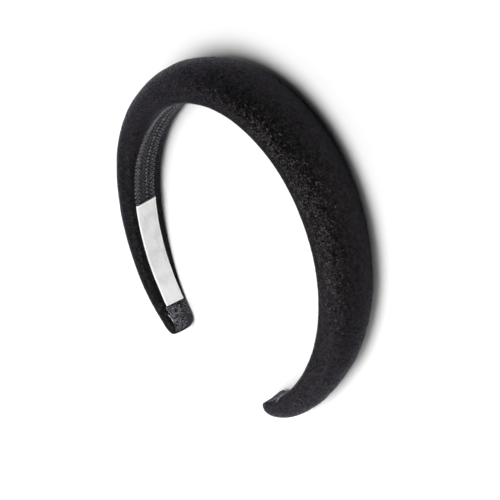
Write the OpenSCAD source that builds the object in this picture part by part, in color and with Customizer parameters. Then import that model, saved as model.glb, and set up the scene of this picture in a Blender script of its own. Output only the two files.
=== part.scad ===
// Padded headband lying on its side, the way it rests on a table
// Lengths are in millimetres. The crown of the arch is towards +Y and its two tips towards -Y.
// The width of the band runs along Z. The left arm, with the label, is the one at -X.

/* [Arch] */
// Clear width inside the arch at its widest level
inner_w = 138; // [120:1:160]
// From the widest level to the inside of the crown
crown_h = 76; // [60:1:95]
// From the widest level to the tips of the two arms
arm_h = 77; // [50:1:90]
// Clear gap between the two tips
tip_gap = 70; // [40:1:100]

/* [Padding] */
// Width of the band at the crown
crown_w = 35; // [28:0.5:46]
// Width of the band where its tips begin
tip_w = 15; // [12:0.5:22]
// Depth of the padding at the crown
crown_d = 18; // [12:0.5:26]
// Depth of the padding where the tips begin
tip_d = 11; // [7:0.5:14]
// How late the width narrows towards the tips, where 1 is a straight taper
width_taper = 1.4; // [1:0.1:2]
// How late the depth thins towards the tips, where 1 is a straight taper
depth_taper = 3; // [1:0.1:5]
// Share of the depth that curls in from the band's widest line to the ribbon
curl_share = 0.35; // [0.2:0.01:0.5]

/* [Tips] */
// Length over which each tip is rounded off
tip_round = 5; // [2:0.5:10]
// Share of the band's width that is left at the blunt end of a tip
tip_end_w = 0.8; // [0.5:0.05:0.95]
// Share of the band's depth that is left at the blunt end of a tip
tip_end_d = 0.6; // [0.4:0.05:0.9]

/* [Ribbon] */
// Width of the woven ribbon along the inside
ribbon_w = 13.5; // [10:0.5:18]
// Thickness of the ribbon
ribbon_t = 1; // [1:0.1:1.5]
// How far the ribbon stands proud of the velvet beside it
ribbon_proud = 0.4; // [0.2:0.1:0.8]
// Velvet left beside the ribbon where a tip is narrower than it
ribbon_rim = 0.8; // [0.6:0.1:2]
// Bare velvet between each end of the ribbon and the end of the tip
ribbon_inset = 1.5; // [0.5:0.5:6]

/* [Label] */
// Length of the satin label along the left arm
label_len = 61; // [30:1:80]
// Width of the label
label_w = 12.5; // [8:0.5:16]
// Thickness of the label
label_t = 1; // [1:0.1:1.5]
// Ribbon left bare between the label and the ribbon's end
label_inset = 13; // [4:1:30]

/* [Fit] */
// Gap between one piece and the next
seat_gap = 0.2; // [0.1:0.05:0.3]

/* [Hidden] */

// Steps along each half of the band up to the tip, and round each tip
arm_steps = 34;
tip_steps = 4;
// Steps across the outer dome of the padding and down each curled edge
dome_steps = 14;
curl_steps = 4;
// Fine steps that measure the length of the inner face, and the angles at its two ends
walk_steps = 240;
arch_half = inner_w / 2;
crown_angle = 90;
tip_angle = -acos(tip_gap / inner_w);
// The arms end before their half ellipse closes, so its own height is more than theirs
arm_axis = arm_h / -sin(tip_angle);

// A point of the inner face at an angle from the widest level, and the way out of the arch there
function arch_rise(a) = a > 0 ? crown_h : arm_axis;
function arch_point(a) = [arch_half * cos(a), arch_rise(a) * sin(a)];
function arch_normal(a) = unit([arch_rise(a) * cos(a), arch_half * sin(a)]);
function unit(v) = v / norm(v);

// Rows of length from the crown and the angle that is reached there
function walk_angle(i) = crown_angle + (tip_angle - crown_angle) * i / walk_steps;
walk = [
    for (
        i = 0, run = 0;
        i <= walk_steps;
        run = run + norm(arch_point(walk_angle(i + 1)) - arch_point(walk_angle(i))),
        i = i + 1
    )
    [run, walk_angle(i)]
];
half_len = walk[walk_steps][0];
ribbon_end = half_len - ribbon_inset;
label_low = ribbon_end - label_inset;
label_high = label_low - label_len;
blunt_start = half_len - tip_round;

// Lengths from the crown at which half the band is cut, closer together round the tip
half_cuts = concat(
    [for (i = [1:arm_steps]) blunt_start * i / arm_steps],
    [for (i = [1:tip_steps]) blunt_start + tip_round * sin(90 * i / tip_steps)]
);
cuts = concat([for (i = [len(half_cuts) - 1:-1:0]) -half_cuts[i]], [0], half_cuts);

// Lengths between two ends, with the cuts of the band that lie between them
function cuts_between(from, to) = concat([from], [for (s = cuts) if (s > from && s < to) s], [to]);

// Width, depth and half width of the ribbon's seat at a length from the crown
function taper(s, from, to, power) = to + (from - to) * (1 - pow(abs(s) / half_len, power));
function tip_left(s) = max(0, min(1, (half_len - abs(s)) / tip_round));
function blunt(s, share) = share + (1 - share) * sqrt(1 - pow(1 - tip_left(s), 2));
function band_w(s) = taper(s, crown_w, tip_w, width_taper) * blunt(s, tip_end_w);
function band_d(s) = taper(s, crown_d, tip_d, depth_taper) * blunt(s, tip_end_d);
function seat_half(s) = min(ribbon_w / 2 + seat_gap, band_w(s) / 2 - ribbon_rim);
function ribbon_half(s) = seat_half(s) - seat_gap;
function label_half(s) = min(label_w / 2, ribbon_half(s));

// Outlines across the band: how far across it, and how far out from the inner face
function band_outline(s) =
    let (
        half = band_w(s) / 2,
        depth = band_d(s),
        widest = depth * curl_share,
        seat = seat_half(s),
        floor_out = ribbon_t + seat_gap,
        curl = [
            for (i = [1:curl_steps])
            let (a = 90 * i / curl_steps)
            [seat + (half - seat) * cos(a), widest - (widest - ribbon_proud) * sin(a)]
        ]
    )
    concat(
        [
            for (i = [0:dome_steps])
            let (a = 180 * i / dome_steps)
            [half * cos(a), widest + (depth - widest) * sin(a)]
        ],
        [for (p = curl) [-p.x, p.y]],
        [[-seat, floor_out], [seat, floor_out]],
        [for (i = [curl_steps - 1:-1:0]) curl[i]]
    );
function strip_outline(half, near, far) = [[half, far], [-half, far], [-half, near], [half, near]];

// A point of such an outline in space, with the band upright
function place(s, p) =
    let (
        a = lookup(abs(s), walk),
        q = arch_point(a) + arch_normal(a) * p.y
    )
    [s < 0 ? -q.x : q.x, q.y, p.x];

// Laid down, the band touches the surface at its crown and at one place on each arm
function side_y(s) = place(s, [0, band_d(s) * curl_share]).y;
function side_slope(s) = atan2(crown_w / 2 - band_w(s) / 2, side_y(0) - side_y(s));
rest_tilt = min([for (s = half_cuts) if (s > half_len / 3) side_slope(s)]);
function lean(p) = [
    p.x,
    p.y * cos(rest_tilt) - p.z * sin(rest_tilt),
    p.y * sin(rest_tilt) + p.z * cos(rest_tilt)
];
leaning = [for (s = cuts) for (p = band_outline(s)) lean(place(s, p))];
lowest = min([for (p = leaning) p.z]);
middle = (min([for (p = leaning) p.y]) + max([for (p = leaning) p.y])) / 2;
function laid(s, outline) = [for (p = outline) lean(place(s, p)) - [0, middle, lowest]];

// A closed skin over rings that all have the same number of corners
module loft(rings) {
    corners = len(rings[0]);
    last = len(rings) - 1;
    walls = [
        for (i = [0:last - 1])
        for (j = [0:corners - 1])
        let (
            a = i * corners + j,
            b = i * corners + (j + 1) % corners
        )
        each [[a, b, b + corners], [a, b + corners, a + corners]]
    ];
    first_cap = [for (j = [corners - 1:-1:0]) j];
    last_cap = [for (j = [0:corners - 1]) last * corners + j];
    polyhedron([for (ring = rings) each ring], concat(walls, [first_cap, last_cap]), convexity = 6);
}

module padded_band() {
    color("#242227")
    loft([for (s = cuts) laid(s, band_outline(s))]);
}

module ribbon_lining() {
    color("#3d3c41")
    loft([
        for (s = cuts_between(-ribbon_end, ribbon_end))
        laid(s, strip_outline(ribbon_half(s), 0, ribbon_t))
    ]);
}

module satin_label() {
    color("#ebe9e6")
    loft([
        for (s = cuts_between(-label_low, -label_high))
        laid(s, strip_outline(label_half(s), -seat_gap - label_t, -seat_gap))
    ]);
}

padded_band();
ribbon_lining();
satin_label();
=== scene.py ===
import math

import bpy
import numpy as np
from mathutils import Matrix, Vector


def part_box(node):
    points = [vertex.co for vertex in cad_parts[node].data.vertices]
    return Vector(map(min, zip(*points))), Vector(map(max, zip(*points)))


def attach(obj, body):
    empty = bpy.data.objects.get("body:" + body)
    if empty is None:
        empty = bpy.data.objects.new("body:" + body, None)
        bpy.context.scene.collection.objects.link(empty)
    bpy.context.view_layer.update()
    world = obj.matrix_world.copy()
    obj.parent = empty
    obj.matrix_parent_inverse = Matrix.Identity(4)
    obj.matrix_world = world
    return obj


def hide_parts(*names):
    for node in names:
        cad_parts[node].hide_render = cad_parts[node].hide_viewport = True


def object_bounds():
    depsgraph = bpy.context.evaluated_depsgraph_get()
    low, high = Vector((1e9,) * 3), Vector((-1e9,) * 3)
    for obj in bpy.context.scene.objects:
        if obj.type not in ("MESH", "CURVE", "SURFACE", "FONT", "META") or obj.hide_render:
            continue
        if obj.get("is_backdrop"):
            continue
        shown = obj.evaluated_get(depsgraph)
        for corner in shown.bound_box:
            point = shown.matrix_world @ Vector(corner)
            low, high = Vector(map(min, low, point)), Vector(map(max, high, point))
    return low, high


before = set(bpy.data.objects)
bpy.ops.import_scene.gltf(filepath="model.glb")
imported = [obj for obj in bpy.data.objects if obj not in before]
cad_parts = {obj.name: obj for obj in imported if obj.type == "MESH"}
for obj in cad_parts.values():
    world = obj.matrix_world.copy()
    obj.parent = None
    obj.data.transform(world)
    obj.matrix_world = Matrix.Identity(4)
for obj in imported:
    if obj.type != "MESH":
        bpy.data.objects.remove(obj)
cad_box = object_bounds()

# Padded headband lying on its side: the looks of its velvet, ribbon and label.
# A place on the band is given by three lengths: along it from the crown, positive on the right arm,
# across its width, positive upwards, and out from the arch's inner face.
MM = 0.001

# Arch
INNER_W = 138 * MM
CROWN_H = 76 * MM
ARM_H = 77 * MM
TIP_GAP = 70 * MM

# Padding
CROWN_W = 35 * MM
TIP_W = 15 * MM
CROWN_D = 18 * MM
TIP_D = 11 * MM
WIDTH_TAPER = 1.4
DEPTH_TAPER = 3
CURL_SHARE = 0.35
TIP_ROUND = 5 * MM
TIP_END_W = 0.8
TIP_END_D = 0.6

# Ribbon and label
RIBBON_T = 1 * MM
RIBBON_PROUD = 0.4 * MM
RIBBON_RIM = 0.8 * MM
RIBBON_INSET = 1.5 * MM
LABEL_LEN = 61 * MM
LABEL_W = 12.5 * MM
LABEL_INSET = 13 * MM
SEAT_GAP = 0.2 * MM

# The arch is two half ellipses that meet at its widest level, one up to the crown and one down to the
# tips. It is walked in small steps, which give the angle on its ellipse for a length along the band.
ARCH_HALF = INNER_W / 2
CROWN_ANGLE = math.pi / 2
TIP_ANGLE = -math.acos(TIP_GAP / INNER_W)
ARM_AXIS = ARM_H / -math.sin(TIP_ANGLE)
WALK_STEPS = 2400

# A vector shorter than this has no direction.
TINY = 1e-15


def arch_rise(angle):
    return np.where(angle > 0, CROWN_H, ARM_AXIS)


def arch_point(angle):
    return np.stack([ARCH_HALF * np.cos(angle), arch_rise(angle) * np.sin(angle)], -1)


def unit(vectors):
    return vectors / np.maximum(np.linalg.norm(vectors, axis=-1, keepdims=True), TINY)


def arch_normal(angle):
    return unit(np.stack([arch_rise(angle) * np.cos(angle), ARCH_HALF * np.sin(angle)], -1))


walk_angles = np.linspace(CROWN_ANGLE, TIP_ANGLE, WALK_STEPS + 1)
walk_points = arch_point(walk_angles)
walk_steps = np.linalg.norm(np.diff(walk_points, axis=0), axis=1)
walk_lengths = np.concatenate([[0], np.cumsum(walk_steps)])
HALF_LEN = walk_lengths[-1]
RIBBON_END = HALF_LEN - RIBBON_INSET
LABEL_LOW = RIBBON_END - LABEL_INSET
LABEL_HIGH = LABEL_LOW - LABEL_LEN
LABEL_MIDDLE = LABEL_LOW - LABEL_LEN / 2

# Where on each arm the band may touch the surface that it lies on, and the points looked at for it
REST_START = HALF_LEN / 3
REST_ROWS = 801
REST_COLUMNS = 181


def angle_at(along):
    return np.interp(np.abs(along), walk_lengths, walk_angles)


def taper(along, start, end, power):
    """A size that goes from start at the crown to end at the tips."""
    return end + (start - end) * (1 - (np.abs(along) / HALF_LEN) ** power)


def blunt(along, share):
    """The share of its size that the band keeps where a tip is rounded off, down to a given share."""
    left = np.clip((HALF_LEN - np.abs(along)) / TIP_ROUND, 0, 1)
    return share + (1 - share) * np.sqrt(1 - (1 - left) ** 2)


def band_w(along):
    return taper(along, CROWN_W, TIP_W, WIDTH_TAPER) * blunt(along, TIP_END_W)


def band_d(along):
    return taper(along, CROWN_D, TIP_D, DEPTH_TAPER) * blunt(along, TIP_END_D)


def stand(along, across, out):
    """A place on the band, or many at once, with the band upright. Past a tip it runs straight on."""
    angle = angle_at(along)
    normal = arch_normal(angle)
    past = np.maximum(np.abs(along) - HALF_LEN, 0)[..., None]
    ahead = np.stack([normal[..., 1], -normal[..., 0]], -1)
    point = arch_point(angle) + normal * np.asarray(out)[..., None] + ahead * past
    side = np.where(np.asarray(along) < 0, -1.0, 1.0)
    return np.stack([point[..., 0] * side, point[..., 1], across + 0 * point[..., 0]], -1)


def rest_tilt():
    """How far the band leans, because it rests on its wide crown and on one place of each arm."""
    arm = np.linspace(REST_START, HALF_LEN, WALK_STEPS)
    crown_y = stand(0.0, 0.0, CROWN_D * CURL_SHARE)[1]
    arm_y = stand(arm, 0.0, band_d(arm) * CURL_SHARE)[:, 1]
    return np.arctan2((CROWN_W - band_w(arm)) / 2, crown_y - arm_y).min()


TILT = rest_tilt()
LEAN = np.array([
    [1, 0, 0],
    [0, math.cos(TILT), -math.sin(TILT)],
    [0, math.sin(TILT), math.cos(TILT)],
])


def dome(along, turn):
    """Across and out on the outer side, for a turn of 0 to pi from the upper to the lower edge."""
    depth = band_d(along)
    widest = depth * CURL_SHARE
    return band_w(along) / 2 * np.cos(turn), widest + (depth - widest) * np.sin(turn)


def laid_shift():
    """What brings the leaning band onto the surface, with its crown where the frame has it."""
    lengths = np.linspace(-HALF_LEN, HALF_LEN, REST_ROWS)
    turns = np.linspace(0, math.pi, REST_COLUMNS)
    along, turn = np.meshgrid(lengths, turns, indexing="ij")
    leaning = stand(along, *dome(along, turn)) @ LEAN.T
    low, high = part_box("padded_band")
    return np.array([0, high.y - leaning[..., 1].max(), low.z - leaning[..., 2].min()])


SHIFT = laid_shift()


def place(along, across, out):
    """A place on the band, or many at once, as the band lies in the frame."""
    return stand(along, across, out) @ LEAN.T + SHIFT


def outward(along):
    """The way out of the arch at a length along the band."""
    normal = arch_normal(angle_at(along))
    side = np.where(np.asarray(along) < 0, -1.0, 1.0)
    return np.stack([normal[..., 0] * side, normal[..., 1], 0 * side], -1) @ LEAN.T


NOISE_CELLS = 512


def smooth_noise(u, v, seed):
    """Smooth noise from -1 to 1 over a plane, a cell to each unit of u and v."""
    cells = np.random.default_rng(seed).uniform(-1, 1, (NOISE_CELLS, NOISE_CELLS))
    column, row = np.floor(u).astype(int), np.floor(v).astype(int)
    x, y = u - column, v - row
    x, y = x * x * (3 - 2 * x), y * y * (3 - 2 * y)

    def corner(i, j):
        return cells[(column + i) % NOISE_CELLS, (row + j) % NOISE_CELLS]

    near = corner(0, 0) * (1 - x) + corner(1, 0) * x
    far = corner(0, 1) * (1 - x) + corner(1, 1) * x
    return near * (1 - y) + far * y


def ramp(value, start, end):
    """0 before start, 1 after end and a smooth rise between them."""
    t = np.clip((value - start) / (end - start), 0, 1)
    return t * t * (3 - 2 * t)


# Meshes
def make_piece(name, points, faces, material, strip=None):
    """A smooth mesh in its place, with the lengths on the band of each point for its material."""
    mesh = bpy.data.meshes.new(name)
    mesh.from_pydata(points.tolist(), [], faces)
    mesh.shade_smooth()
    mesh.materials.append(material)
    if strip is not None:
        layer = mesh.attributes.new("strip", "FLOAT_VECTOR", "POINT")
        layer.data.foreach_set("vector", strip.astype(np.float32).ravel())
    piece = bpy.data.objects.new(name, mesh)
    bpy.context.scene.collection.objects.link(piece)
    return piece


def grid_faces(rows, columns, first=0):
    """Quads over a grid of points whose rows close into rings."""
    row = np.arange(rows - 1)[:, None] * columns + first
    column = np.arange(columns)[None, :]
    after = (column + 1) % columns
    quads = np.stack([row + column, row + columns + column, row + columns + after, row + after], -1)
    return quads.reshape(-1, 4).tolist()


def loft(name, rings, material, strip):
    """A closed skin over rings of points, with a flat end on the first and the last."""
    rows, columns = rings.shape[:2]
    faces = grid_faces(rows, columns)
    faces.append(list(range(columns)))
    faces.append([(rows - 1) * columns + i for i in range(columns)][::-1])
    return make_piece(name, rings.reshape(-1, 3), faces, material, strip.reshape(-1, 3))


def tube(along, across, out, radius, sides, first=0):
    """Points, faces and strip lengths of a thread that follows places on the band."""
    centre = place(along, across, out)
    run = unit(np.gradient(centre, axis=0))
    side = unit(np.cross(run, outward(along)))
    lift = np.cross(side, run)
    turn = np.arange(sides) / sides * 2 * math.pi
    radius = np.broadcast_to(radius, along.shape)[:, None, None]
    spoke = np.cos(turn)[None, :, None] * side[:, None] + np.sin(turn)[None, :, None] * lift[:, None]
    rings = centre[:, None] + radius * spoke
    faces = grid_faces(len(along), sides, first=first)
    faces.append([first + i for i in range(sides)])
    faces.append([first + (len(along) - 1) * sides + i for i in range(sides)][::-1])
    strip = np.repeat(np.stack([along, across, out], -1)[:, None], sides, 1)
    return rings.reshape(-1, 3), faces, strip.reshape(-1, 3)


def threads(name, paths, material):
    """One piece of many threads, each given as along, across, out, radius and sides."""
    points, faces, strips, count = [], [], [], 0
    for path in paths:
        made, skin, strip = tube(*path, first=count)
        points.append(made)
        strips.append(strip)
        faces.extend(skin)
        count += len(made)
    return make_piece(name, np.concatenate(points), faces, material, np.concatenate(strips))


# Materials
class Shader:
    """A material's Principled shader and the nodes before it."""

    def __init__(self, name, values):
        self.material = bpy.data.materials.new(name)
        self.material.use_nodes = True
        self.tree = self.material.node_tree
        self.surface = self.tree.nodes["Principled BSDF"]
        for socket, value in values.items():
            self.surface.inputs[socket].default_value = value

    def node(self, kind, settings=(), **inputs):
        """A node with its inputs set or linked, each given by its name or as i and its number."""
        made = self.tree.nodes.new("ShaderNode" + kind)
        for name, value in dict(settings).items():
            setattr(made, name, value)
        for name, value in inputs.items():
            numbered = name[0] == "i" and name[1:].isdigit()
            socket = made.inputs[int(name[1:]) if numbered else name]
            if isinstance(value, bpy.types.NodeSocket):
                self.tree.links.new(value, socket)
            else:
                socket.default_value = value
        return made

    def plug(self, socket, output):
        self.tree.links.new(output, self.surface.inputs[socket])

    def strip(self, *scale):
        """The lengths on the band, scaled for a pattern."""
        lengths = self.node("Attribute", {"attribute_name": "strip"}).outputs["Vector"]
        return self.node("Mapping", Vector=lengths, Scale=scale).outputs["Vector"]

    def lengthwise(self):
        return self.node("SeparateXYZ", Vector=self.strip(1, 1, 1)).outputs["X"]

    def noise(self, vector, scale, detail, roughness):
        made = self.node("TexNoise", Vector=vector, Scale=scale, Detail=detail, Roughness=roughness)
        return made.outputs["Fac"]

    def steps(self, value, low, high, start=0.0, end=1.0):
        """A value between low and high brought to between start and end."""
        smooth = {"interpolation_type": "SMOOTHSTEP"}
        return self.node("MapRange", smooth, i0=value, i1=low, i2=high, i3=start, i4=end).outputs[0]

    def mix(self, share, one, other):
        """One colour where share is 0 and the other where it is 1."""
        return self.node("Mix", {"data_type": "RGBA"}, i0=share, i6=one, i7=other).outputs[2]

    def times(self, one, other):
        return self.node("Math", {"operation": "MULTIPLY"}, i0=one, i1=other).outputs[0]

    def vector(self, operation, *values):
        inputs = {f"i{number}": value for number, value in enumerate(values)}
        return self.node("VectorMath", {"operation": operation}, **inputs).outputs[0]

    def relief(self, height, strength, distance):
        return self.node("Bump", Height=height, Strength=strength, Distance=distance).outputs["Normal"]

    def facets(self, vector, scale, lean, surface):
        """Small cells that lean at random over a surface."""
        cells = self.node("TexVoronoi", Vector=vector, Scale=scale).outputs["Color"]
        way = self.vector("SUBTRACT", cells, (0.5, 0.5, 0.5))
        return self.vector("NORMALIZE", self.vector("MULTIPLY_ADD", way, (lean, lean, lean), surface))


# Velvet: its colours, its tufts to a metre and how far they lean, the depth of its clumps, and where on
# the left arm a painted shade darkens it towards black and by what share
VELVET_DARK = (0.0098, 0.009, 0.0094, 1)
VELVET_LIGHT = (0.0238, 0.0218, 0.0229, 1)
VELVET_STROKED = (0.0259, 0.0238, 0.0249, 1)
BLACK = (0, 0, 0, 1)
TUFT_SCALE = 2500
TUFT_LEAN = 0.92
CLUMP_DEPTH = 0.2 * MM
PAINTED_SHADE_START = -60 * MM
PAINTED_SHADE_END = -115 * MM
PAINTED_SHADE_SHARE = 0.3


def velvet_material():
    """Near-black velvet: tufts that each lean their own way, so that some of them glitter."""
    shader = Shader("velvet", {
        "Roughness": 0.38,
        "Metallic": 0.97,
        "Specular IOR Level": 0.0,
        "Specular Tint": (0.57, 0.565, 0.61, 1),
    })
    at = shader.strip(1, 1, 1)
    clumps = shader.noise(at, scale=300, detail=3, roughness=0.6)
    dye = shader.noise(at, scale=420, detail=5, roughness=0.75)
    stroke = shader.noise(shader.strip(1, 2.2, 1), scale=55, detail=3, roughness=0.55)
    # Painted shade: the base colour turns darker towards black along the left arm, out to its tip.
    painted_shade = shader.steps(shader.lengthwise(), low=PAINTED_SHADE_END, high=PAINTED_SHADE_START, start=PAINTED_SHADE_SHARE, end=0)
    base = shader.mix(shader.steps(dye, low=0.36, high=0.64), VELVET_DARK, VELVET_LIGHT)
    base = shader.mix(shader.steps(stroke, low=0.4, high=0.7, start=0, end=0.35), base, VELVET_STROKED)
    shader.plug("Base Color", shader.mix(painted_shade, base, BLACK))
    surface = shader.relief(clumps, strength=1, distance=CLUMP_DEPTH)
    shader.plug("Normal", shader.facets(at, scale=TUFT_SCALE, lean=TUFT_LEAN, surface=surface))
    return shader.material


# Thread: the depth of its twist lines. Worn cloth is furry over this length at each end of the ribbon,
# in a colour for the left end and a lighter one for the right, whose extra lightness is painted light on
# a shaded end.
TWIST_DEPTH = 0.12 * MM
WORN_LEN = 12 * MM
WORN_LEFT = (0.07, 0.068, 0.074, 1)
WORN_RIGHT_PAINTED_LIGHT = (0.17, 0.165, 0.2, 1)


def thread_material(name, dark, light, sheen, gloss, worn=False):
    """Twisted thread: a soft gloss, fine twist lines and uneven dye, maybe worn at its ends."""
    shader = Shader(name, {
        "Roughness": 0.5,
        "Specular IOR Level": gloss,
        "Sheen Weight": sheen,
        "Sheen Roughness": 0.4,
        "Sheen Tint": (0.85, 0.85, 0.9, 1),
    })
    at = shader.strip(1, 1, 1)
    dye = shader.noise(at, scale=900, detail=3, roughness=0.6)
    base = shader.mix(shader.steps(dye, low=0.3, high=0.7), (*dark, 1), (*light, 1))
    if worn:
        along = shader.lengthwise()
        fur = shader.steps(shader.noise(at, scale=1500, detail=3, roughness=0.7), low=0.38, high=0.62)
        from_crown = shader.node("Math", {"operation": "ABSOLUTE"}, i0=along).outputs[0]
        end = shader.steps(from_crown, low=RIBBON_END - WORN_LEN, high=RIBBON_END - WORN_LEN / 2)
        # The furry ends are wear. The right end's lighter colour is painted light over its shade.
        fluff_and_painted_light = shader.mix(shader.steps(along, low=0, high=RIBBON_END - WORN_LEN), WORN_LEFT, WORN_RIGHT_PAINTED_LIGHT)
        base = shader.mix(shader.times(fur, end), base, fluff_and_painted_light)
    shader.plug("Base Color", base)
    twist = shader.noise(shader.strip(1, 0.35, 0.35), scale=5200, detail=1, roughness=0.5)
    shader.plug("Normal", shader.relief(twist, strength=0.5, distance=TWIST_DEPTH))
    return shader.material


# Satin: its colours, lighter towards the label's low end with its grey blotches fainter there, both
# painted light, and the depth of its twill
SATIN_LOW_PAINTED_LIGHT = (0.97, 0.97, 0.965, 1)
SATIN_HIGH = (0.84, 0.838, 0.825, 1)
SATIN_GREY = (0.67, 0.685, 0.725, 1)
SATIN_HIGHLIGHT_AND_SELVEDGE = (1, 1, 0.99, 1)
GREY_LOW_PAINTED_LIGHT = 0.25
GREY_HIGH = 0.85
TWILL_DEPTH = 0.08 * MM


def satin_material():
    """Off-white satin: a fine twill, a soft gloss, faint grey blotches, painted light towards the label's
    low end, and whiter edges that are painted highlights above and a paler selvedge below.
    """
    shader = Shader("satin", {
        "Roughness": 0.42,
        "Specular IOR Level": 0.45,
        "Sheen Weight": 0.25,
        "Sheen Roughness": 0.3,
    })
    at = shader.strip(1, 1, 1)
    cloud = shader.noise(at, scale=130, detail=3, roughness=0.5)
    # Painted light: the satin turns lighter and its grey blotches fainter towards the label's low end.
    upward = shader.steps(shader.lengthwise(), low=-LABEL_LOW, high=-LABEL_MIDDLE)
    grey_share_painted_light = shader.steps(upward, low=0, high=1, start=GREY_LOW_PAINTED_LIGHT, end=GREY_HIGH)
    grey = shader.times(shader.steps(cloud, low=0.4, high=0.72), grey_share_painted_light)
    base = shader.mix(grey, shader.mix(upward, SATIN_LOW_PAINTED_LIGHT, SATIN_HIGH), SATIN_GREY)
    # Painted highlight on the upper edge and folded top, and the lower selvedge's own white.
    edge_highlight_and_selvedge = shader.node("SeparateXYZ", Vector=at).outputs["Z"]
    shader.plug("Base Color", shader.mix(edge_highlight_and_selvedge, base, SATIN_HIGHLIGHT_AND_SELVEDGE))
    twill = shader.noise(shader.strip(1, 0.25, 1), scale=4200, detail=1, roughness=0.5)
    shader.plug("Normal", shader.relief(twill, strength=0.35, distance=TWILL_DEPTH))
    return shader.material


VELVET = velvet_material()
# The ribbon's cloth is near-black, darker than the charcoal ribbon: painted shade of the gaps between its
# threads, with worn ends.
GROUND_PAINTED_SHADE_AND_WEAR = thread_material(
    "ribbon_ground_painted_shade_and_wear", dark=(0.008, 0.008, 0.009), light=(0.026, 0.026, 0.03), sheen=0, gloss=0, worn=True
)
BRAID = thread_material(
    "braid", dark=(0.06, 0.059, 0.067), light=(0.26, 0.255, 0.285), sheen=0.03, gloss=0.25
)
GRAIN = thread_material(
    "grain", dark=(0.018, 0.0175, 0.021), light=(0.085, 0.083, 0.095), sheen=0.03, gloss=0.25
)
FRAYED = thread_material(
    "frayed", dark=(0.035, 0.032, 0.042), light=(0.36, 0.34, 0.4), sheen=0.05, gloss=0.4
)
GLOSSY = thread_material(
    "glossy_thread", dark=(0.3, 0.28, 0.42), light=(0.66, 0.63, 0.8), sheen=0.1, gloss=0.4
)
SATIN = satin_material()


# Velvet cover over the foam

# The spacing of its rings, and the points of a ring on the outer dome, on each curl, on each side of
# the ribbon's tuck and on each half of its seat
COVER_STEP = 0.6 * MM
DOME_POINTS = 84
CURL_POINTS = 17
TUCK_POINTS = 3
SEAT_POINTS = 3

# Left tip: blunt, with an inner face that curls away from the arch, and a slightly domed cap that
# bulges the way from one of the rings to the last
TIP_RINGS = 14
CAP_RINGS = 9
CAP_RISE = 0.8 * MM
CAP_SWEEP = 0.97 * CROWN_ANGLE
CAP_WAY_RING = 4
LEFT_END_D = 0.74
TIP_CURL = 4 * MM
TIP_CURL_BEND = 0.88

# Right tip: a round nose that closes at a point out from the arch, past a dip of the inner face
NOSE_START = HALF_LEN - 8 * MM
NOSE_LEN = 15.8 * MM
NOSE_OUT = 7.9 * MM
NOSE_RINGS = 30
NOSE_SWEEP = 0.985 * CROWN_ANGLE
NOSE_BLUNT = 2.6
RIGHT_DIP = 0.75 * MM
RIGHT_DIP_START = HALF_LEN - 18 * MM
RIGHT_DIP_END = HALF_LEN - 6 * MM

# How deep the velvet sinks past the ribbon's end, in line with the ribbon's seat
SEAT_DENT = 0.06 * MM

# How far inside its edge the ribbon hides the cover, which lies flat there
HIDDEN_RIM = 0.1 * MM

# Uneven surface: how far each layer lifts the cover, the size of its bumps along and round the band,
# and its seed. The puckers fade out between two shares of the band's half width.
RELIEF = [
    {"rise": 0.22 * MM, "long": 26 * MM, "round": 15 * MM, "seed": 11},
    {"rise": 0.1 * MM, "long": 9 * MM, "round": 7 * MM, "seed": 12},
    {"rise": 0.035 * MM, "long": 2.4 * MM, "round": 2.4 * MM, "seed": 13},
]
PUCKERS = {"rise": 0.09 * MM, "long": 3.6 * MM, "round": 30 * MM, "seed": 14}
PUCKER_FULL = 0.55
PUCKER_GONE = 0.98


def cover_lengths():
    """Lengths along the band of the cover's rings, closer together round the tips."""
    left_tip = HALF_LEN - TIP_ROUND * (1 - np.sin(np.linspace(0, CROWN_ANGLE, TIP_RINGS + 1)))
    nose = NOSE_START + NOSE_LEN * np.sin(np.linspace(0, NOSE_SWEEP, NOSE_RINGS + 1))
    count = round((left_tip[0] + nose[0]) / COVER_STEP)
    between = np.linspace(-left_tip[0], nose[0], count + 1)[1:-1]
    return np.concatenate([-left_tip[::-1], between, nose])


def nose_share(along):
    """The share of its size that the padding keeps towards the right tip's round nose."""
    return (1 - np.clip((along - NOSE_START) / NOSE_LEN, 0, 1) ** NOSE_BLUNT) ** (1 / NOSE_BLUNT)


def inner_curl(along):
    """How far the inner face curls away from the arch at the left tip and dips before the right one."""
    into = np.clip((-along - HALF_LEN + TIP_CURL) / TIP_CURL, 0, 1)
    dip = RIGHT_DIP * ramp(along, RIGHT_DIP_START, RIGHT_DIP_END)
    return dip + TIP_CURL * (1 - np.sqrt(1 - TIP_CURL_BEND * into ** 2))


def tip_curl(along):
    """How far the inner face lies from the arch near the tips, with the nose's rounding."""
    return inner_curl(along) + (1 - nose_share(along)) * (NOSE_OUT - inner_curl(along))


# The ribbon's cloth, which is narrower than its looped edges and has velvet rims beside it. It wanders
# across the band, as it was glued on by hand.
CLOTH_HALF = 6.3 * MM
CLOTH_END = HALF_LEN + 0.3 * MM
CLOTH_GAP = 0.15 * MM
LEAST_RIM = 0.15 * MM
WANDER_BLUR = 12 * MM
WANDER_SAMPLES = 9
WANDER = [
    {"along": -201 * MM, "shift": -1.1 * MM},
    {"along": -186 * MM, "shift": -1.9 * MM},
    {"along": -124 * MM, "shift": 1.6 * MM},
    {"along": -105 * MM, "shift": 2.2 * MM},
    {"along": -66 * MM, "shift": 0.8 * MM},
    {"along": -25 * MM, "shift": 0},
    {"along": 70 * MM, "shift": 0.5 * MM},
    {"along": 150 * MM, "shift": -0.4 * MM},
    {"along": 201 * MM, "shift": 0},
]

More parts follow.
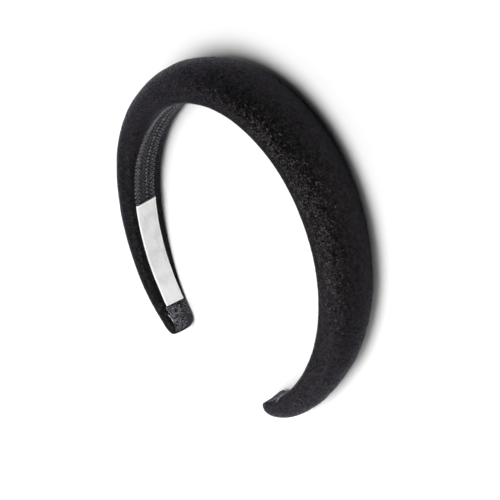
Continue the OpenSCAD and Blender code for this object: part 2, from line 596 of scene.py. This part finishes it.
# Uneven padding: where the foam swells past its even shape or falls short of it, over a reach along
# the band. Side 1 is the curl above the ribbon, -1 the curl below it and 0 the outer dome.
SWELLS = [
    {"along": -36 * MM, "reach": 27 * MM, "side": 1, "rise": 2.1 * MM},
    {"along": -16 * MM, "reach": 14 * MM, "side": 1, "rise": 0.3 * MM},
    {"along": 40 * MM, "reach": 18 * MM, "side": 1, "rise": -0.6 * MM},
    {"along": 98 * MM, "reach": 26 * MM, "side": 1, "rise": 0.8 * MM},
    {"along": 150 * MM, "reach": 42 * MM, "side": 1, "rise": 1.4 * MM},
    {"along": 187 * MM, "reach": 9 * MM, "side": -1, "rise": 1.3 * MM},
    {"along": -162 * MM, "reach": 26 * MM, "side": -1, "rise": 1 * MM},
    {"along": -110 * MM, "reach": 20 * MM, "side": -1, "rise": -0.9 * MM},
    {"along": -62 * MM, "reach": 16 * MM, "side": -1, "rise": 0.5 * MM},
    {"along": -110 * MM, "reach": 40 * MM, "side": 0, "rise": 0.7 * MM},
    {"along": 105 * MM, "reach": 36 * MM, "side": 0, "rise": 0.5 * MM},
    {"along": 154 * MM, "reach": 18 * MM, "side": 0, "rise": -0.7 * MM},
    {"along": 200 * MM, "reach": 24 * MM, "side": 0, "rise": 1.3 * MM},
    {"along": -204 * MM, "reach": 26 * MM, "side": 0, "rise": -2.1 * MM},
    {"along": -60 * MM, "reach": 18 * MM, "side": 0, "rise": -0.5 * MM},
    {"along": 6 * MM, "reach": 14 * MM, "side": 0, "rise": -0.6 * MM},
    {"along": 128 * MM, "reach": 14 * MM, "side": 0, "rise": 0.5 * MM},
]


def swell(along, side):
    """How far the padding stands past its even shape, or short of it where negative."""
    rises = [
        row["rise"] * np.exp(-((along - row["along"]) / row["reach"]) ** 2)
        for row in SWELLS if row["side"] == side
    ]
    return sum(rises)


def cloth_half(along):
    """Half the width of the ribbon's cloth, which narrows at the tips."""
    return np.minimum(CLOTH_HALF, band_w(along) / 2 - RIBBON_RIM)


def wander(along):
    """How far the middle of the ribbon lies from the middle of the band."""
    places = [row["along"] for row in WANDER]
    shifts = [row["shift"] for row in WANDER]
    offsets = np.linspace(-WANDER_BLUR, WANDER_BLUR, WANDER_SAMPLES)
    shift = np.mean([np.interp(along + offset, places, shifts) for offset in offsets], 0)
    room = band_w(along) / 2 - cloth_half(along) - CLOTH_GAP - LEAST_RIM
    return np.clip(shift, -room, room)


def cover_half(along):
    """Half the width of the padding, blunt at the left tip and not yet rounded at the right one."""
    return np.where(along < 0, band_w(along), taper(along, CROWN_W, TIP_W, WIDTH_TAPER)) / 2


def cover_outline(along):
    """Across, out and the length round the padding, in rows from the middle of the ribbon's seat."""
    along = along[:, None]
    half = cover_half(along)
    inner = inner_curl(along)
    depth = taper(along, CROWN_D, TIP_D, DEPTH_TAPER) + swell(along, 0)
    depth = depth * np.where(along < 0, blunt(along, LEFT_END_D), 1)
    widest = inner + (depth - inner) * CURL_SHARE
    shift = wander(along)
    lip = inner + RIBBON_PROUD
    floor = lip + np.where(along < CLOTH_END, RIBBON_T + SEAT_GAP - RIBBON_PROUD, SEAT_DENT)

    def inside(side):
        """From the middle of the seat out to the band's widest line on one side."""
        seat = cloth_half(along) + CLOTH_GAP + side * shift
        share = (np.arange(SEAT_POINTS) / SEAT_POINTS)[None]
        drop = (np.arange(TUCK_POINTS) / TUCK_POINTS)[None]
        turn = (np.arange(CURL_POINTS) / CURL_POINTS * CROWN_ANGLE)[None]
        puff = swell(along, side) * np.sin(2 * turn)
        seat_across = side * shift + (seat - side * shift) * share
        curl_across = seat + (half - seat + puff) * np.sin(turn)
        curl_out = widest - (widest - lip + puff) * np.cos(turn)
        across = np.concatenate([seat_across, seat + 0 * drop, curl_across], 1)
        out = np.concatenate([floor + 0 * share, floor + (lip - floor) * drop, curl_out], 1)
        return side * across, out

    upper_across, upper_out = inside(1)
    lower_across, lower_out = inside(-1)
    turn = (np.arange(DOME_POINTS + 1) / DOME_POINTS * math.pi)[None]
    dome_out = widest + (depth - widest) * np.sin(turn)
    across = np.concatenate([upper_across, half * np.cos(turn), lower_across[:, :0:-1]], 1)
    out = np.concatenate([upper_out, dome_out, lower_out[:, :0:-1]], 1)
    steps = np.hypot(np.diff(across, axis=1), np.diff(out, axis=1))
    around = np.concatenate([0 * along, np.cumsum(steps, 1)], 1)
    share = nose_share(along)
    return across * share, NOSE_OUT + (out - NOSE_OUT) * share, around


def padding_relief(along, across, around):
    """How far the cover stands out of or sinks into the even padding."""
    def layer(row):
        return row["rise"] * smooth_noise(along / row["long"], around / row["round"], row["seed"])

    middle = 1 - ramp(np.abs(across), PUCKER_FULL, PUCKER_GONE)
    return sum(layer(row) for row in RELIEF) + layer(PUCKERS) * middle


def velvet_cover():
    """The skin of the padding, a ring of points round it at each length, lifted by its relief."""
    lengths = cover_lengths()
    across, out, around = cover_outline(lengths)
    along = np.broadcast_to(lengths[:, None], across.shape)
    rings = place(along, across, out)
    run = np.gradient(rings, axis=0)
    ring = np.roll(rings, -1, axis=1) - np.roll(rings, 1, axis=1)
    normal = unit(np.cross(ring, run))
    under = np.abs(across - wander(along)) < cloth_half(along) + CLOTH_GAP - HIDDEN_RIM
    hidden = under & (out < tip_curl(along) + RIBBON_T + 2 * SEAT_GAP) & (along < HALF_LEN)
    share = nose_share(along)
    relief = padding_relief(along, across / cover_half(along), around) * share
    rings = rings + normal * np.where(hidden, 0, relief)[..., None]
    strip = np.stack([along, around, (1 - share) * TIP_W / 2], -1)
    rings, strip = capped(rings, strip)
    rings[..., 2] = np.maximum(rings[..., 2], 0)
    cover = loft("velvet_cover", rings, VELVET, strip)
    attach(cover, "root")
    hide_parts("padded_band")
    return cover


def capped(rings, strip):
    """The rings with shrinking ones before them, which close the left tip with a slight bulge."""
    ring, lengths = rings[0], strip[0]
    centre = ring.mean(0)
    way = unit(centre - rings[CAP_WAY_RING].mean(0))
    made, marks = [], []
    for turn in np.linspace(CAP_SWEEP, 0, CAP_RINGS + 1)[:-1]:
        share = math.cos(turn)
        made.append(centre + (ring - centre) * share + way * CAP_RISE * math.sin(turn))
        marks.append(lengths + [0, 0, (1 - share) * TIP_W / 2])
    return np.concatenate([made, rings]), np.concatenate([marks, strip])


# Woven ribbon

# The spacing of its rows, its columns, and how far out its cloth's face lies
WEAVE_STEP = 0.5 * MM
RIBBON_COLUMNS = 36
CLOTH_FACE = 0.42 * MM

# Its folded ends: the length of each, how far it stands proud, and over how long it rises
LEFT_FOLD = 12.5 * MM
LEFT_FOLD_RISE = 0.5 * MM
LEFT_FOLD_SLOPE = 1.6 * MM
LEFT_FOLD_FADE = 4 * MM
RIGHT_FOLD = 3.8 * MM
RIGHT_FOLD_RISE = 1.15 * MM
RIGHT_FOLD_SLOPE = 3.5 * MM

# How deep the label presses the ribbon, and over how long the press sets in at its low and high end
PRESS_DEPTH = 0.5 * MM
PRESS_LOW = 0.4 * MM
PRESS_HIGH = 0.8 * MM

# The cloth's ribs, the uneven weave over them, and the drop of its sides and ends to the velvet
RIB_DEPTH = 0.06 * MM
RIB_TURNS = 34
WEAVE_DEPTH = 0.05 * MM
WEAVE_LONG = 0.9 * MM
WEAVE_WIDE = 9
WEAVE_START = 30
WEAVE_SEED = 21
EDGE_DROP = 0.3 * MM
EDGE_START = 0.93
END_SLOPE = 0.6 * MM


def fold_rise(along, across):
    """How far the ribbon's folded ends stand proud of the rest, the right one at its lower edge."""
    left = RIBBON_END - LEFT_FOLD
    right = RIBBON_END - RIGHT_FOLD
    left_end = 1 - ramp(-along, HALF_LEN - LEFT_FOLD_FADE, HALF_LEN)
    left_rise = ramp(-along, left, left + LEFT_FOLD_SLOPE) * left_end
    right_rise = ramp(along, right, right + RIGHT_FOLD_SLOPE) * ramp(-across, -CLOTH_HALF, CLOTH_HALF)
    return LEFT_FOLD_RISE * left_rise + RIGHT_FOLD_RISE * right_rise


def pressed(along):
    """How far the label presses the ribbon's threads down."""
    under = ramp(along, -LABEL_LOW - PRESS_LOW, -LABEL_LOW + PRESS_LOW)
    return PRESS_DEPTH * under * (1 - ramp(along, -LABEL_HIGH - PRESS_HIGH, -LABEL_HIGH))


def on_ribbon(along, across, out):
    """A place given from the ribbon's own middle and from its cloth's face, brought onto the band."""
    squeeze = cloth_half(along) / CLOTH_HALF
    face = CLOTH_FACE + tip_curl(along) + pressed(along) - fold_rise(along, across)
    return across * squeeze + wander(along), face + out


def woven_ribbon():
    """The ribbon's cloth: a ribbed face with folded ends over a flat back."""
    lengths = np.linspace(-CLOTH_END, CLOTH_END, round(2 * CLOTH_END / WEAVE_STEP))
    share = np.linspace(-1, 1, RIBBON_COLUMNS)
    along, share = np.meshgrid(lengths, share, indexing="ij")
    weave = smooth_noise(along / WEAVE_LONG, share * WEAVE_WIDE + WEAVE_START, WEAVE_SEED)
    ribs = RIB_DEPTH * np.sin(share * RIB_TURNS) + WEAVE_DEPTH * weave
    sides = EDGE_DROP * ramp(np.abs(share), EDGE_START, 1)
    ends = EDGE_DROP + fold_rise(along, share * CLOTH_HALF)
    ends = ends * (1 - ramp(CLOTH_END - np.abs(along), 0, END_SLOPE))
    across, face = on_ribbon(along, share * CLOTH_HALF, ribs + sides + ends)
    back_along = np.stack([lengths, lengths], 1)
    back_across = np.stack([cloth_half(lengths), -cloth_half(lengths)], 1) + wander(lengths)[:, None]
    back_out = RIBBON_T + tip_curl(back_along)
    along = np.concatenate([along, back_along], 1)
    across = np.concatenate([across, back_across], 1)
    out = np.concatenate([face, back_out], 1)
    rings = place(along, across, out)
    ribbon = loft("woven_ribbon", rings, GROUND_PAINTED_SHADE_AND_WEAR, np.stack([along, across, out], -1))
    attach(ribbon, "root")
    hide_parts("ribbon_lining")
    return ribbon


# Threads that swing to and fro along the ribbon, in millimetres: the middle and half width of each
# swing across it, its pitch along it and its start as a share of that, the thread's radius and how far
# it rises. An upright thread crosses the ribbon squarely and turns in wide loops. A slant leans the
# crossings.
THREAD_SIDES = 5
LADDER = {
    "middle": 5.0, "half": 1.5, "pitch": 2.46, "start": 0, "radius": 0.21, "rise": 0.4,
    "upright": 0.5, "slant": 0.5,
}
FINE_EDGE = {
    "middle": -5.45, "half": 1.1, "pitch": 2.46, "start": 0.3, "radius": 0.18, "rise": 0.25,
    "upright": 0.5, "slant": -0.3,
}
MIDDLE_THREADS = [
    {"middle": 1.75, "half": 0.55, "pitch": 2.46, "start": 0, "radius": 0.18, "rise": 0.3},
    {"middle": 1.75, "half": 0.55, "pitch": 2.46, "start": 0.5, "radius": 0.16, "rise": 0.15},
    {"middle": 0.1, "half": 0.7, "pitch": 1.9, "start": 0, "radius": 0.12, "rise": 0.14, "slant": 0.3},
    {"middle": 0.1, "half": 0.7, "pitch": 1.9, "start": 0.5, "radius": 0.12, "rise": 0.08, "slant": -0.3},
    {"middle": -2.9, "half": 1.1, "pitch": 2.2, "start": 0, "radius": 0.13, "rise": 0.16, "slant": 0.2},
    {"middle": -2.9, "half": 1.1, "pitch": 2.2, "start": 0.5, "radius": 0.13, "rise": 0.1, "slant": -0.2},
]
THREAD_END = RIBBON_END - 3 * MM
THREAD_RIGHT_END = RIBBON_END - RIGHT_FOLD - 1 * MM
SWING_STEPS = 10

# How far a swinging thread's turns are uneven along the ribbon and, as a share, across it, how many of
# its turns that takes to change, the share of its rise at its turns, and how deep it is sunk
SWING_UNEVEN = 0.12 * MM
SWING_WIDER = 0.14
SWING_CHANGE = 1.7
SWING_LOW = 0.35
SWING_SUNK = 0.05 * MM
SWING_SEED = 90

# Straight threads: how far across each lies in millimetres, and its radius, sway and spacing of points
WARP_THREADS = [3.2, 2.7, 0.95, -4.15]
WARP_RADIUS = 0.11 * MM
WARP_RISE = 0.02 * MM
WARP_SWAY = 0.12
WARP_SWAY_LEN = 4 * MM
WARP_STEP = 1.2 * MM
WARP_SEED = 70

# Knots: their spacing, where they lie across the ribbon, their half length, radius and rise, then the
# least and greatest lean, size and slip along the ribbon
KNOT_PITCH = 2.46 * MM
KNOT_MIDDLE = -1.15 * MM
KNOT_HALF = 0.75 * MM
KNOT_RADIUS = 0.36 * MM
KNOT_RISE = 0.32 * MM
KNOT_LEAN = [0.25 * MM, 0.5 * MM]
KNOT_SIZE = [0.75, 1.1]
KNOT_SLIP = [-0.15 * MM, 0.15 * MM]
KNOT_STEPS = 7
KNOT_SIDES = 6
KNOT_SEED = 61


def swinging_thread(middle, half, pitch, start, radius, rise, upright=0, slant=0):
    count = round(2 * THREAD_END / (pitch * MM))
    turn = np.linspace(-count * math.pi, count * math.pi, count * SWING_STEPS + 1) + start * 2 * math.pi
    along = (turn + upright * np.sin(2 * turn)) / (2 * math.pi) * pitch * MM
    seed = round(10 * middle) + SWING_SEED
    uneven = smooth_noise(along / (SWING_CHANGE * pitch * MM), 0 * along, seed)
    along = along - slant * MM * np.cos(turn) + SWING_UNEVEN * uneven
    turn, along, uneven = (row[along < THREAD_RIGHT_END] for row in (turn, along, uneven))
    along = np.maximum(along, -THREAD_END)
    across = (middle + half * (1 + SWING_WIDER * uneven) * np.cos(turn)) * MM
    risen = rise * MM * (SWING_LOW + (1 - SWING_LOW) * np.sin(turn) ** 2)
    across, out = on_ribbon(along, across, SWING_SUNK - risen)
    return along, across, out, radius * MM, THREAD_SIDES


def warp_thread(middle):
    along = np.linspace(-THREAD_END, THREAD_RIGHT_END, round(2 * THREAD_END / WARP_STEP))
    sway = WARP_SWAY * smooth_noise(along / WARP_SWAY_LEN, 0 * along, round(10 * middle) + WARP_SEED)
    across, out = on_ribbon(along, (middle + sway) * MM, 0 * along - WARP_RISE)
    return along, across, out, WARP_RADIUS, THREAD_SIDES


def knots():
    """Short raised floats in a row along the ribbon, each one leaning across it."""
    chance = np.random.default_rng(KNOT_SEED)
    share = np.linspace(-1, 1, KNOT_STEPS)
    risen = KNOT_RISE * (1 - 0.6 * share ** 2)
    for centre in np.arange(-THREAD_END + KNOT_PITCH, THREAD_RIGHT_END - KNOT_PITCH, KNOT_PITCH):
        lean, size = chance.uniform(*KNOT_LEAN), chance.uniform(*KNOT_SIZE)
        along = centre + chance.uniform(*KNOT_SLIP) + share * KNOT_HALF * size
        across, out = on_ribbon(along, KNOT_MIDDLE - share * lean, -risen)
        yield along, across, out, KNOT_RADIUS * size * np.sqrt(1.04 - share ** 2), KNOT_SIDES


def looped_edges():
    """The bright laddered edge with its loops, the fine one on the other side, and the knots."""
    edges = [swinging_thread(**LADDER), swinging_thread(**FINE_EDGE)]
    made = threads("looped_edges", edges + list(knots()), BRAID)
    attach(made, "root")
    return made


def braided_middle():
    """The darker threads between the two edges."""
    swinging = [swinging_thread(**row) for row in MIDDLE_THREADS]
    straight = [warp_thread(middle) for middle in WARP_THREADS]
    made = threads("braided_middle", swinging + straight, GRAIN)
    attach(made, "root")
    return made


# Frayed loops at the left tip, in millimetres: the place of each from the crown and across the band,
# its length and width, the turns from and to in degrees, and the thread's radius
FRAYED_LOOPS = [
    {"along": -188.4, "across": 4.5, "long": 1.0, "wide": 0.8, "from": 40, "to": 380, "radius": 0.2},
    {"along": -188.9, "across": 0.2, "long": 1.1, "wide": 1.7, "from": -60, "to": 150, "radius": 0.17},
    {"along": -190.8, "across": 1.6, "long": 1.8, "wide": 2.6, "from": 100, "to": 400, "radius": 0.22},
    {"along": -191.4, "across": 3.6, "long": 1.2, "wide": 1.1, "from": 0, "to": 330, "radius": 0.2},
    {"along": -193.6, "across": 1.4, "long": 1.5, "wide": 2.9, "from": 160, "to": 430, "radius": 0.22},
    {"along": -194.6, "across": 3.0, "long": 1.3, "wide": 1.2, "from": -30, "to": 260, "radius": 0.18},
    {"along": -192.6, "across": -1.2, "long": 1.4, "wide": 1.0, "from": 90, "to": 380, "radius": 0.2},
    {"along": -196.4, "across": 2.4, "long": 1.2, "wide": 1.8, "from": 20, "to": 300, "radius": 0.17},
    {"along": -189.6, "across": -2.6, "long": 0.8, "wide": 1.3, "from": 0, "to": 200, "radius": 0.15},
]
LOOP_WOBBLE = 0.16
LOOP_RISE = 0.2 * MM
LOOP_STEPS = 30
LOOP_SIDES = 6
LOOP_SEED = 80

# The glossy thread: where it starts and ends, how far it sways, its radius and how high it lies
GLOSSY_ALONG = [-190.6 * MM, -196.2 * MM]
GLOSSY_ACROSS = [5.9 * MM, 4.7 * MM]
GLOSSY_SWAY = 0.15 * MM
GLOSSY_TURNS = 9
GLOSSY_RADIUS = 0.22 * MM
GLOSSY_LIFT = 0.25 * MM
GLOSSY_STEPS = 24

# Lint: how many short ends and how high they lie, then the least and greatest of their places, bends in
# radians, half lengths and radii. Most of them lie where the mode says.
LINT_COUNT = 105
LINT_LIFT = 0.12 * MM
LINT_ALONG = [-200.8 * MM, -187.5 * MM]
LINT_ACROSS = {"left": -6 * MM, "mode": 3.2 * MM, "right": 4.8 * MM}
LINT_BEND = [-1.4, 1.4]
LINT_HALF = [0.2 * MM, 0.7 * MM]
LINT_RADIUS = [0.07 * MM, 0.13 * MM]
LINT_STEPS = 9
LINT_SEED = 71

# Stray threads on the velvet of the right arm's end, in millimetres: where each starts and ends along
# the band and at which column of the cover's outline, how far it bows in columns, and its radius
STRAYS = [
    {"along": 180.5, "column": 7.5, "end": 188.3, "end_column": 16.5, "bow": 0.5, "radius": 0.3},
    {"along": 181.8, "column": 10, "end": 187.8, "end_column": 18.5, "bow": -0.5, "radius": 0.24},
    {"along": 184.5, "column": 9, "end": 190, "end_column": 13, "bow": 0.8, "radius": 0.18},
    {"along": 168.7, "column": 26, "end": 167.6, "end_column": 34, "bow": -2, "radius": 0.13},
    {"along": 174.8, "column": 25.5, "end": 173.8, "end_column": 29, "bow": 0.4, "radius": 0.12},
    {"along": 172, "column": 35, "end": 171.3, "end_column": 37.5, "bow": 0.3, "radius": 0.12},
]
STRAY_STEPS = 16


def lifted(along, across, lift):
    """How far out a loose thread lies that rests on the ribbon's fold."""
    return CLOTH_FACE - fold_rise(along, across) + tip_curl(along) - lift


def frayed_loop(row, seed):
    turn = np.radians(np.linspace(row["from"], row["to"], LOOP_STEPS))
    wobble = 1 + LOOP_WOBBLE * smooth_noise(turn * 1.3, 0 * turn, seed)
    along = (row["along"] + row["long"] * wobble * np.cos(turn)) * MM
    across = (row["across"] + row["wide"] * wobble * np.sin(turn)) * MM
    rise = LOOP_RISE * (1 + np.sin(turn * 1.5 + seed))
    radius = row["radius"] * MM
    return along, across, lifted(along, across, rise + radius / 2), radius, LOOP_SIDES


def lint():
    """Short stray ends over the fold at the left tip."""
    chance = np.random.default_rng(LINT_SEED)
    share = np.linspace(-1, 1, LINT_STEPS)
    for _ in range(LINT_COUNT):
        middle_along, middle_across = chance.uniform(*LINT_ALONG), chance.triangular(**LINT_ACROSS)
        heading, bend = chance.uniform(0, 2 * math.pi), chance.uniform(*LINT_BEND)
        half = chance.uniform(*LINT_HALF)
        along = middle_along + half * share * np.cos(heading + bend * share)
        across = middle_across + half * share * np.sin(heading + bend * share)
        radius = chance.uniform(*LINT_RADIUS)
        yield along, across, lifted(along, across, LINT_LIFT), radius, THREAD_SIDES


def thinned(radius, share):
    """A thread's radius that shrinks at both of its ends."""
    return radius * np.sqrt(1.02 - (2 * share - 1) ** 4)


def stray_thread(row):
    """A loose thread that lies on the velvet, from one length and column of the cover to another."""
    share = np.linspace(0, 1, STRAY_STEPS)
    along = (row["along"] + (row["end"] - row["along"]) * share) * MM
    column = row["column"] + (row["end_column"] - row["column"]) * share
    column = column + row["bow"] * np.sin(math.pi * share)
    across, out = cover_outline(along)[:2]
    columns = np.arange(across.shape[1])
    across = np.array([np.interp(at, columns, line) for at, line in zip(column, across)])
    out = np.array([np.interp(at, columns, line) for at, line in zip(column, out)])
    return along, across, out, thinned(row["radius"] * MM, share), LOOP_SIDES


def glossy_thread():
    share = np.linspace(0, 1, GLOSSY_STEPS)
    along = np.interp(share, [0, 1], GLOSSY_ALONG)
    across = np.interp(share, [0, 1], GLOSSY_ACROSS) + GLOSSY_SWAY * np.sin(share * GLOSSY_TURNS)
    return along, across, lifted(along, across, GLOSSY_LIFT), thinned(GLOSSY_RADIUS, share), LOOP_SIDES


def frayed_end():
    """The loose threads of both tips, and the glossy one."""
    loops = [frayed_loop(row, seed) for seed, row in enumerate(FRAYED_LOOPS, LOOP_SEED)]
    strays = [stray_thread(row) for row in STRAYS]
    made = threads("frayed_threads", loops + list(lint()) + strays, FRAYED)
    shine = threads("glossy_thread", [glossy_thread()], GLOSSY)
    for piece in (made, shine):
        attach(piece, "root")
    return made, shine


# Satin label

# Its mesh, its thickness and how far out its face lies, its half width at each end and how far its
# high end is cut askew
LABEL_ROWS = 220
LABEL_COLUMNS = 48
LABEL_THICK = 0.35 * MM
LABEL_FACE = -0.5 * MM
LABEL_TOP_HALF = 6.35 * MM
LABEL_BASE_HALF = 5.8 * MM
LABEL_SKEW = 0.65 * MM

# Its soft dimples: how deep, how long, how many over its half width, and the seed of each layer
DIMPLES = [
    {"depth": 0.15 * MM, "long": 7 * MM, "wide": 1.6, "seed": 41},
    {"depth": 0.05 * MM, "long": 2.4 * MM, "wide": 4, "seed": 42},
]
DIMPLE_START = 9

# The groove beside its lower edge, the roll of its upper edge, and the drop of all its edges
GROOVE_DEPTH = 0.12 * MM
GROOVE_SHARE = -0.84
GROOVE_WIDTH = 0.035
ROLL_DEPTH = 0.5 * MM
ROLL_START = 0.9
ROLL_END = 1.06
LABEL_DROP = 0.25 * MM
LABEL_DROP_LEN = 0.3 * MM
LABEL_DROP_SHARE = 0.96

# Its folded top and its hem at the low end: how thick each is and how long
TOP_FOLD_RISE = 0.35 * MM
TOP_FOLD_START = 0.5 * MM
TOP_FOLD_END = 1.1 * MM
HEM_RISE = 0.2 * MM
HEM_LEN = 1.7 * MM
HEM_SLOPE = 0.25 * MM

# Its two dashed seams: how deep and wide, the pitch and slope of their stitches, the shares of its half
# width where they fade out, and how far they lie from each end
STITCH_DEPTH = 0.16 * MM
STITCH_WIDTH = 0.22 * MM
STITCH_PITCH = 1.3 * MM
STITCH_SLOPE = [-0.2, 0.35]
SEAM_FADE = [0.86, 0.9]
TOP_SEAM = 1.7 * MM
LOW_SEAM = 1.2 * MM

# How much painted highlight its upper edge has, how white its lower selvedge is, and the shares of its
# half width over which they turn white
UPPER_PAINTED_HIGHLIGHT = 0.3
UPPER_HIGHLIGHT_SPAN = [0.88, 0.97]
LOWER_WHITE = 0.7
LOWER_WHITE_SPAN = [0.88, 0.95]


def stitch_line(along, share, at):
    """How far a dashed seam across the label is pressed in, at a length from the label's end."""
    near = np.exp(-((along - at) / STITCH_WIDTH) ** 2)
    dash = ramp(np.sin(share * LABEL_W / STITCH_PITCH * math.pi), *STITCH_SLOPE)
    return near * dash * (1 - ramp(np.abs(share), *SEAM_FADE))


def label_relief(share, from_base, from_top, along):
    """How deep the label's face lies below its even level, and above it where negative."""
    relief = sum(
        row["depth"] * smooth_noise(along / row["long"], share * row["wide"] + DIMPLE_START, row["seed"])
        for row in DIMPLES
    )
    relief = relief + GROOVE_DEPTH * np.exp(-((share - GROOVE_SHARE) / GROOVE_WIDTH) ** 2)
    relief = relief + ROLL_DEPTH * ramp(share, ROLL_START, ROLL_END)
    relief = relief - TOP_FOLD_RISE * (1 - ramp(from_top, TOP_FOLD_START, TOP_FOLD_END))
    relief = relief - HEM_RISE * (1 - ramp(from_base, HEM_LEN - HEM_SLOPE, HEM_LEN))
    seams = stitch_line(from_top, share, TOP_SEAM) + stitch_line(from_base, share, LOW_SEAM)
    sides = ramp(np.abs(share), LABEL_DROP_SHARE, 1)
    ends = 1 - ramp(np.minimum(from_base, from_top), 0, LABEL_DROP_LEN)
    return relief + STITCH_DEPTH * seams + LABEL_DROP * (sides + ends)


def satin_label():
    """The label, with the painted highlights of its upper edge and folded top and the white of its lower
    selvedge kept for its material.
    """
    lengths = np.linspace(-LABEL_LOW, -LABEL_HIGH, LABEL_ROWS)
    share = np.linspace(-1, 1, LABEL_COLUMNS)
    along, share = np.meshgrid(lengths, share, indexing="ij")
    upward = (along + LABEL_LOW) / LABEL_LEN
    from_base, from_top = along + LABEL_LOW, -LABEL_HIGH - along
    half = LABEL_BASE_HALF + (LABEL_TOP_HALF - LABEL_BASE_HALF) * upward
    across = share * half + wander(along)
    face = LABEL_FACE + label_relief(share, from_base, from_top, along)
    back = face + LABEL_THICK
    along = along - LABEL_SKEW * share * ramp(upward, 0.5, 1)
    along = np.concatenate([along, along[:, ::-1]], 1)
    across = np.concatenate([across, across[:, ::-1]], 1)
    out = np.concatenate([face, back[:, ::-1]], 1)
    rings = place(along, across, out)
    # Painted highlight: the upper rolled edge and the folded top turn whiter where they face the light.
    # The lower edge is a paler selvedge.
    upper_highlight = UPPER_PAINTED_HIGHLIGHT * ramp(share, *UPPER_HIGHLIGHT_SPAN)
    lower_white = LOWER_WHITE * ramp(-share, *LOWER_WHITE_SPAN)
    top_fold_highlight = 1 - ramp(from_top, TOP_FOLD_START, TOP_FOLD_END)
    highlight_and_selvedge = np.maximum(np.maximum(upper_highlight, lower_white), top_fold_highlight)
    highlight_and_selvedge = np.concatenate([highlight_and_selvedge, highlight_and_selvedge[:, ::-1]], 1)
    label = loft("bare_label", rings, SATIN, np.stack([along, across, highlight_and_selvedge], -1))
    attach(label, "root")
    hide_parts("satin_label")
    return label


# Stage, camera and lights
FLOOR_HALF = 6


def pale_floor():
    shader = Shader("floor", {
        "Base Color": (0.86, 0.86, 0.86, 1),
        "Roughness": 0.7,
        "Specular IOR Level": 0.2,
    })
    corners = FLOOR_HALF * np.array([[-1, -1, 0], [1, -1, 0], [1, 1, 0], [-1, 1, 0]])
    floor = make_piece("floor", corners, [[0, 1, 2, 3]], shader.material)
    floor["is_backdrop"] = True


# The camera looks from the photograph's angle. Its azimuth is 0 on the tips' side and grows towards the
# right arm, and its roll turns the picture until the tips point down. The sensor and the lens are in
# millimetres, as a camera takes them.
VIEW_AZIMUTH = math.radians(133.564)
VIEW_ELEVATION = math.radians(37.14)
VIEW_ROLL = math.radians(113.136)
VIEW_TARGET = Vector((5.74, -9.13, 7.3)) * MM
VIEW_DISTANCE = 619.7 * MM
SENSOR = 36
LENS = 89.74
CLIP_START = 0.01


def photo_camera():
    level = math.cos(VIEW_ELEVATION)
    back = Vector((
        math.sin(VIEW_AZIMUTH) * level, -math.cos(VIEW_AZIMUTH) * level, math.sin(VIEW_ELEVATION)
    ))
    side = Vector((-back.y, back.x, 0)).normalized()
    rise = back.cross(side)
    up = rise * math.cos(VIEW_ROLL) + side * math.sin(VIEW_ROLL)
    right = up.cross(back)
    data = bpy.data.cameras.new("camera")
    data.lens = LENS
    data.sensor_width = SENSOR
    data.clip_start = CLIP_START
    camera = bpy.data.objects.new("camera", data)
    bpy.context.scene.collection.objects.link(camera)
    turn = Matrix((right, up, back)).transposed().to_4x4()
    camera.matrix_world = Matrix.Translation(VIEW_TARGET + back * VIEW_DISTANCE) @ turn
    bpy.context.scene.camera = camera


LIGHT_DISTANCE = 1.2
WORLD_BRIGHTNESS = 0.02

# Soft lights: the way to each from the band, its radius in metres and the brightness that it alone
# gives a white surface that faces it
SOFT_LIGHTS = [
    {"name": "overhead", "way": (0.11, 0.06, 0.99), "radius": 0.4, "brightness": 0.83},
    {"name": "left_side", "way": (-0.98, 0, 0.21), "radius": 0.5, "brightness": 0.27},
    {"name": "corner_side", "way": (-0.69, -0.69, 0.21), "radius": 0.5, "brightness": 0.17},
    {"name": "tips_side", "way": (0, -0.98, 0.21), "radius": 0.5, "brightness": 0.41},
    {"name": "right_side", "way": (0.69, -0.69, 0.21), "radius": 0.5, "brightness": 0.15},
    {"name": "left_high", "way": (-0.76, -0.31, 0.57), "radius": 0.5, "brightness": 0.06},
    {"name": "right_overhead", "way": (0.5, 0, 0.87), "radius": 0.5, "brightness": 0.23},
    {"name": "tips_overhead", "way": (0, -0.5, 0.87), "radius": 0.5, "brightness": 0.12},
]


def soft_light(name, way, radius, brightness):
    data = bpy.data.lights.new(name, "AREA")
    data.shape = "DISK"
    data.size = 2 * radius
    data.energy = brightness * math.pi ** 2 * (LIGHT_DISTANCE ** 2 + radius ** 2)
    light = bpy.data.objects.new(name, data)
    way = Vector(way).normalized()
    light.location = way * LIGHT_DISTANCE
    light.rotation_mode = "QUATERNION"
    light.rotation_quaternion = way.to_track_quat("Z", "Y")
    bpy.context.scene.collection.objects.link(light)


def studio():
    world = bpy.data.worlds.new("studio")
    world.use_nodes = True
    background = world.node_tree.nodes["Background"]
    background.inputs["Color"].default_value = (1, 1, 1, 1)
    background.inputs["Strength"].default_value = WORLD_BRIGHTNESS
    bpy.context.scene.world = world
    bpy.context.scene.view_settings.view_transform = "Standard"
    for light in SOFT_LIGHTS:
        soft_light(**light)


photo_camera()
cover = velvet_cover()
ribbon = woven_ribbon()
looped = looped_edges()
braided = braided_middle()
frayed, shine = frayed_end()
label = satin_label()
pale_floor()
studio()

[[list(corner) for corner in box] for box in (cad_box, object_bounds())]
